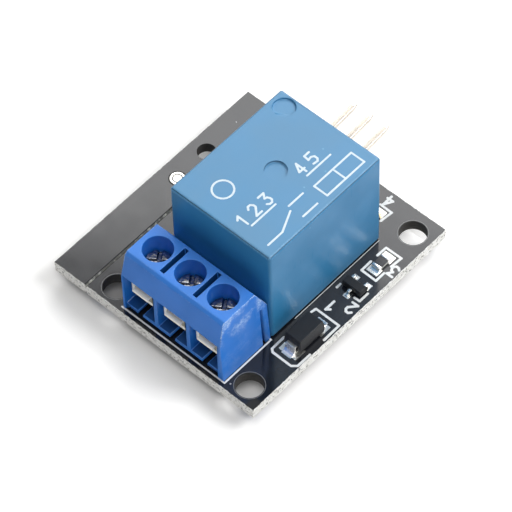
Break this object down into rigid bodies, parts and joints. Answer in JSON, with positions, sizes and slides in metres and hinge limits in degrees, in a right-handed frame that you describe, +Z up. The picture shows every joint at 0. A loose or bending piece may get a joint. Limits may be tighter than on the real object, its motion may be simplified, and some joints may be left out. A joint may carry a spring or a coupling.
{
  "type": "relay module board",
  "caption": "Small relay circuit board: a boxed changeover relay, a screw terminal block, an angled pin header and driver parts on a board with a break-off rail.",
  "frame": {"origin": "centre of the four mounting holes, on the underside of the board", "axes": "+Z up through the parts, +X towards the header pins, +Y towards the break-off rail"},
  "size_m": [0.04, 0.0316, 0.0192],
  "materials": {
    "board": "glossy black solder mask on glass fibre laminate",
    "tinned_copper": "tinned copper pads",
    "terminal_blue": "semi-gloss moulded",
    "bar_tin": "bright tin plate on brass",
    "cage_steel": "nickel plated",
    "screw_steel": "zinc plated",
    "relay_blue": "satin moulded",
    "relay_base_blue": "satin moulded",
    "bobbin_plastic": "natural moulded",
    "copper_wire": "enamelled copper wire",
    "soft_iron": "nickel plated soft iron",
    "spring_bronze": "rolled spring bronze",
    "contact_silver": "silver alloy",
    "contact_brass": "stamped brass, tinned tails",
    "lead_tin": "tin plate",
    "header_black": "moulded",
    "pin_gold": "gilt",
    "diode_black": "moulded epoxy",
    "transistor_black": "moulded epoxy",
    "resistor_glaze": "black glaze on white alumina",
    "lamp_ceramic": "white substrate",
    "lamp_clear": "milky clear epoxy",
    "lamp_gilt": "gilt end contacts",
    "solder": "bright solder"
  },
  "bodies": {
    "root": {"circuit_board": "board", "board_pads": "tinned_copper", "terminal_housing": "terminal_blue", "current_bar_1": "bar_tin", "current_bar_2": "bar_tin", "current_bar_3": "bar_tin", "relay_cover": "relay_blue", "relay_base": "relay_base_blue", "relay_bobbin": "bobbin_plastic", "relay_winding": "copper_wire", "relay_core": "soft_iron", "relay_yoke": "soft_iron", "common_terminal": "spring_bronze", "open_terminal": "contact_brass", "open_contact": "contact_silver", "closed_terminal": "contact_brass", "closed_contact": "contact_silver", "coil_pins": "lead_tin", "header_insulator": "header_black", "header_pin_1": "pin_gold", "header_pin_2": "pin_gold", "header_pin_3": "pin_gold", "diode_body": "diode_black", "diode_leads": "lead_tin", "transistor_body": "transistor_black", "transistor_leads": "lead_tin", "resistor_body": "resistor_glaze", "resistor_caps": "lead_tin", "lamp_resistor_body": "resistor_glaze", "lamp_resistor_caps": "lead_tin", "lamp_base": "lamp_ceramic", "lamp_lens": "lamp_clear", "lamp_caps": "lamp_gilt", "terminal_solder": "solder", "relay_solder": "solder", "header_solder": "solder", "chip_solder": "solder"},
    "armature": {"relay_armature": "soft_iron", "contact_leaf": "spring_bronze", "moving_contact": "contact_silver"},
    "screw_1": {"clamp_screw_1": "screw_steel"},
    "cage_1": {"clamp_cage_1": "cage_steel"},
    "screw_2": {"clamp_screw_2": "screw_steel"},
    "cage_2": {"clamp_cage_2": "cage_steel"},
    "screw_3": {"clamp_screw_3": "screw_steel"},
    "cage_3": {"clamp_cage_3": "cage_steel"}
  },
  "joints": [
    {"name": "armature_swing", "type": "hinge", "parent": "root", "child": "armature", "pos_m": [0.00847, -0.0004, 0.0131], "axis": [0, -1, 0], "range_deg": [0, 2.4], "stiffness_Nm_per_rad": 0.01, "springref_deg": -5.73},
    {"name": "screw_turn_1", "type": "hinge", "parent": "root", "child": "screw_1", "pos_m": [-0.01228, 0.00534, 0.0083], "axis": [0, 0, -1], "range_deg": [-960, 160]},
    {"name": "cage_rise_1", "type": "slide", "parent": "root", "child": "cage_1", "axis": [0, 0, 1], "range_m": [-0.0012, 0.0002]},
    {"name": "screw_turn_2", "type": "hinge", "parent": "root", "child": "screw_2", "pos_m": [-0.01228, 0.00026, 0.0083], "axis": [0, 0, -1], "range_deg": [-960, 160]},
    {"name": "cage_rise_2", "type": "slide", "parent": "root", "child": "cage_2", "axis": [0, 0, 1], "range_m": [-0.0012, 0.0002]},
    {"name": "screw_turn_3", "type": "hinge", "parent": "root", "child": "screw_3", "pos_m": [-0.01228, -0.00482, 0.0083], "axis": [0, 0, -1], "range_deg": [-960, 160]},
    {"name": "cage_rise_3", "type": "slide", "parent": "root", "child": "cage_3", "axis": [0, 0, 1], "range_m": [-0.0012, 0.0002]}
  ],
  "couplings": [
    {"joint": "screw_turn_1", "follows": "cage_rise_1", "rad_per_m": 13962},
    {"joint": "screw_turn_2", "follows": "cage_rise_2", "rad_per_m": 13962},
    {"joint": "screw_turn_3", "follows": "cage_rise_3", "rad_per_m": 13962}
  ]
}
